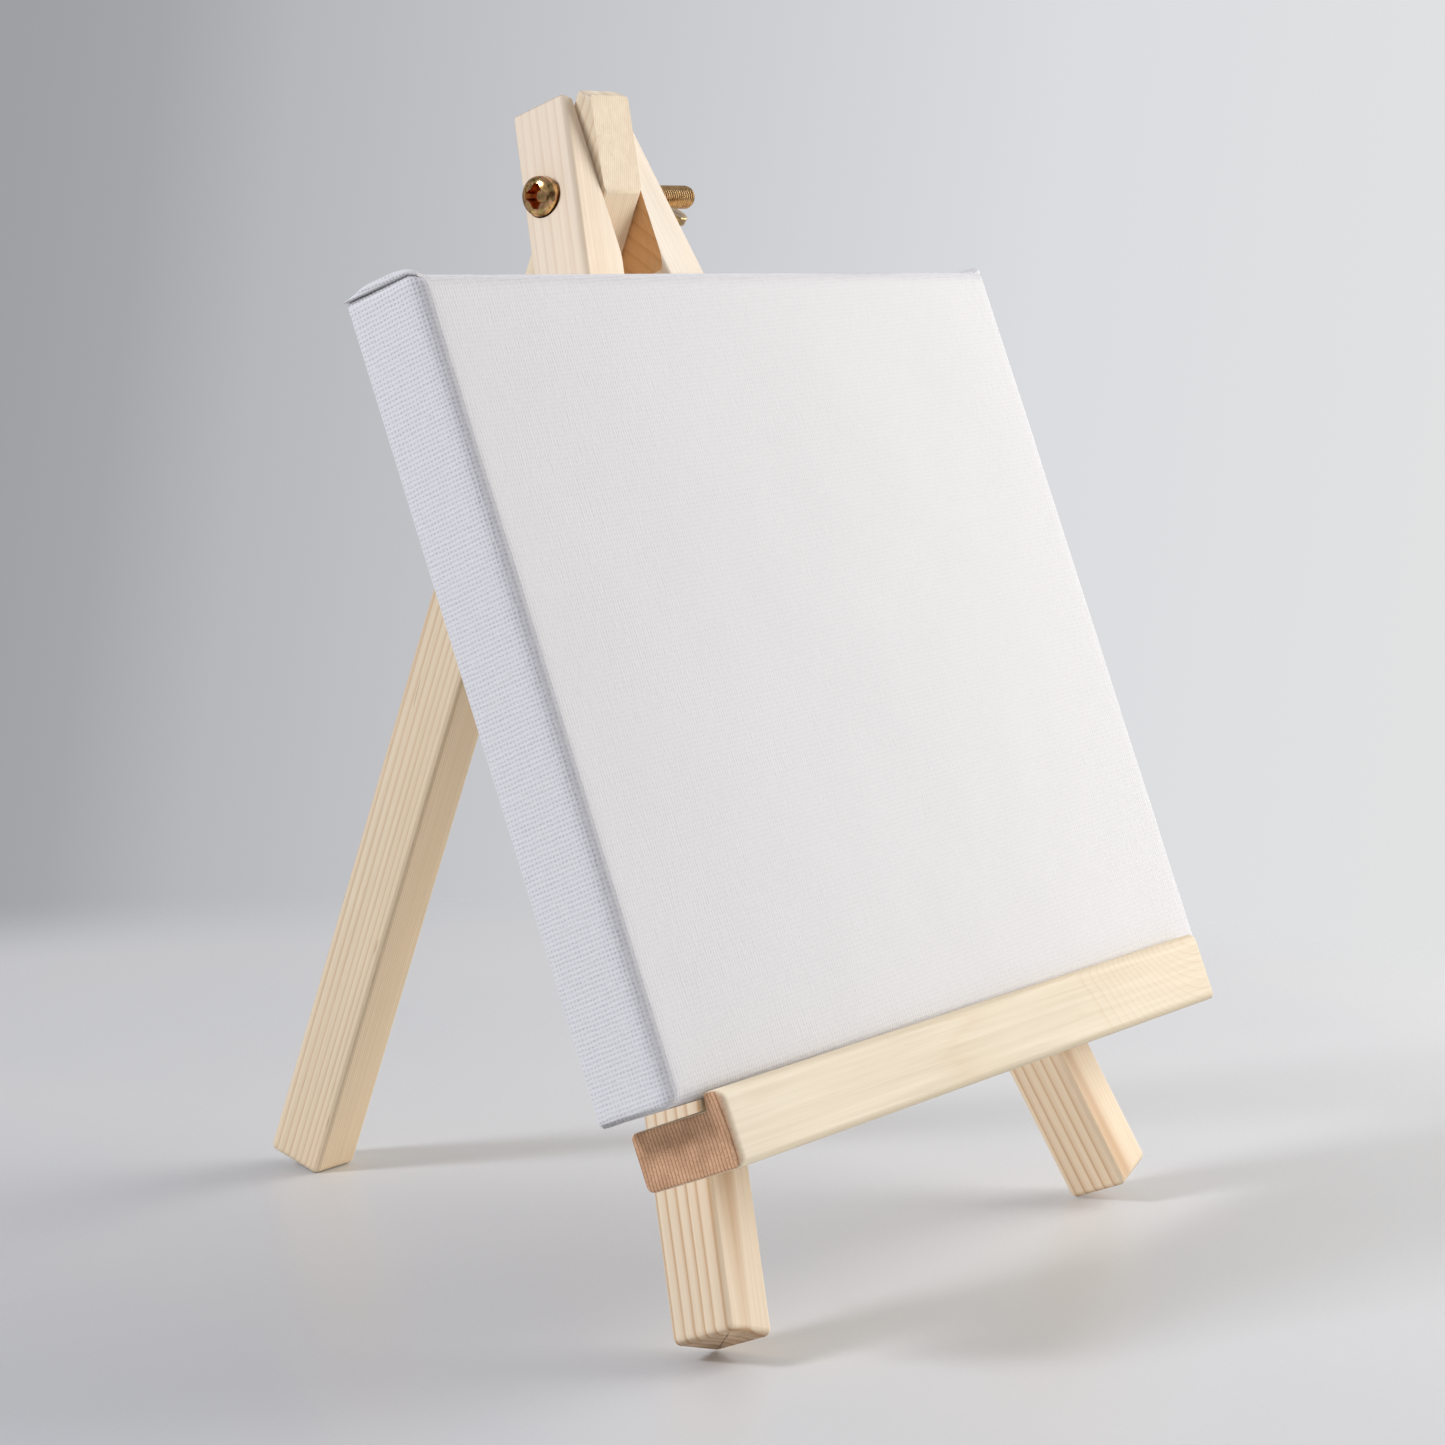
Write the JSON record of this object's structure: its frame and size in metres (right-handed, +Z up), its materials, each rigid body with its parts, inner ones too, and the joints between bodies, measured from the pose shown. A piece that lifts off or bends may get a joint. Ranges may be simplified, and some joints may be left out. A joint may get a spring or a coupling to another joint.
{
  "type": "tabletop easel with canvas",
  "caption": "Small folding wooden easel: splayed front legs with a grooved ledge, a rear leg swinging on a wing-nut bolt, and a stretched blank canvas standing on it.",
  "frame": {"origin": "on the floor, at the centre of the plan in Y and on the centre plane between the two front legs in X", "axes": "+X across to the wing nut's side, +Y towards the rear leg, so the canvas faces -Y; +Z up"},
  "size_m": [0.2016, 0.1702, 0.2235],
  "materials": {
    "pine": "bare planed pine, edges eased",
    "bar_pine": "bare sawn pine",
    "yellow_zinc": "steel with yellow zinc plating",
    "primed_cotton": "woven cotton, white primed front and sides",
    "staple_steel": "bright wire"
  },
  "bodies": {
    "frame": {"left_front_leg": "pine", "right_front_leg": "pine", "ledge": "pine", "ledge_screw_left": "yellow_zinc", "ledge_screw_right": "yellow_zinc", "pivot_bolt": "yellow_zinc"},
    "rear_leg": {"rear_leg": "pine"},
    "washer": {"nut_washer": "yellow_zinc"},
    "wing_nut": {"wing_nut": "yellow_zinc"},
    "canvas": {"canvas_cloth": "primed_cotton", "top_bar": "bar_pine", "bottom_bar": "bar_pine", "left_bar": "bar_pine", "right_bar": "bar_pine", "staple_top_1": "staple_steel", "staple_top_2": "staple_steel", "staple_top_3": "staple_steel", "staple_top_4": "staple_steel", "staple_bottom_1": "staple_steel", "staple_bottom_2": "staple_steel", "staple_bottom_3": "staple_steel", "staple_bottom_4": "staple_steel", "staple_left_1": "staple_steel", "staple_left_2": "staple_steel", "staple_left_3": "staple_steel", "staple_right_1": "staple_steel", "staple_right_2": "staple_steel", "staple_right_3": "staple_steel"}
  },
  "joints": [
    {"name": "rear_leg_swing", "type": "hinge", "parent": "frame", "child": "rear_leg", "pos_m": [0, 0.01123, 0.20291], "axis": [-1, 0, 0], "range_deg": [-8, 40.5]},
    {"name": "washer_travel", "type": "slide", "parent": "frame", "child": "washer", "axis": [1, 0, 0], "range_m": [0, 0.004]},
    {"name": "nut_spin", "type": "hinge", "parent": "washer", "child": "wing_nut", "pos_m": [0, 0.01123, 0.20291], "axis": [1, 0, 0], "range_deg": [0, 1800]},
    {"name": "canvas_lift", "type": "slide", "parent": "frame", "child": "canvas", "axis": [0, 0.2079, 0.9781], "range_m": [0, 0.19]}
  ],
  "couplings": [
    {"joint": "washer_travel", "follows": "nut_spin", "m_per_rad": 0.00012732}
  ]
}
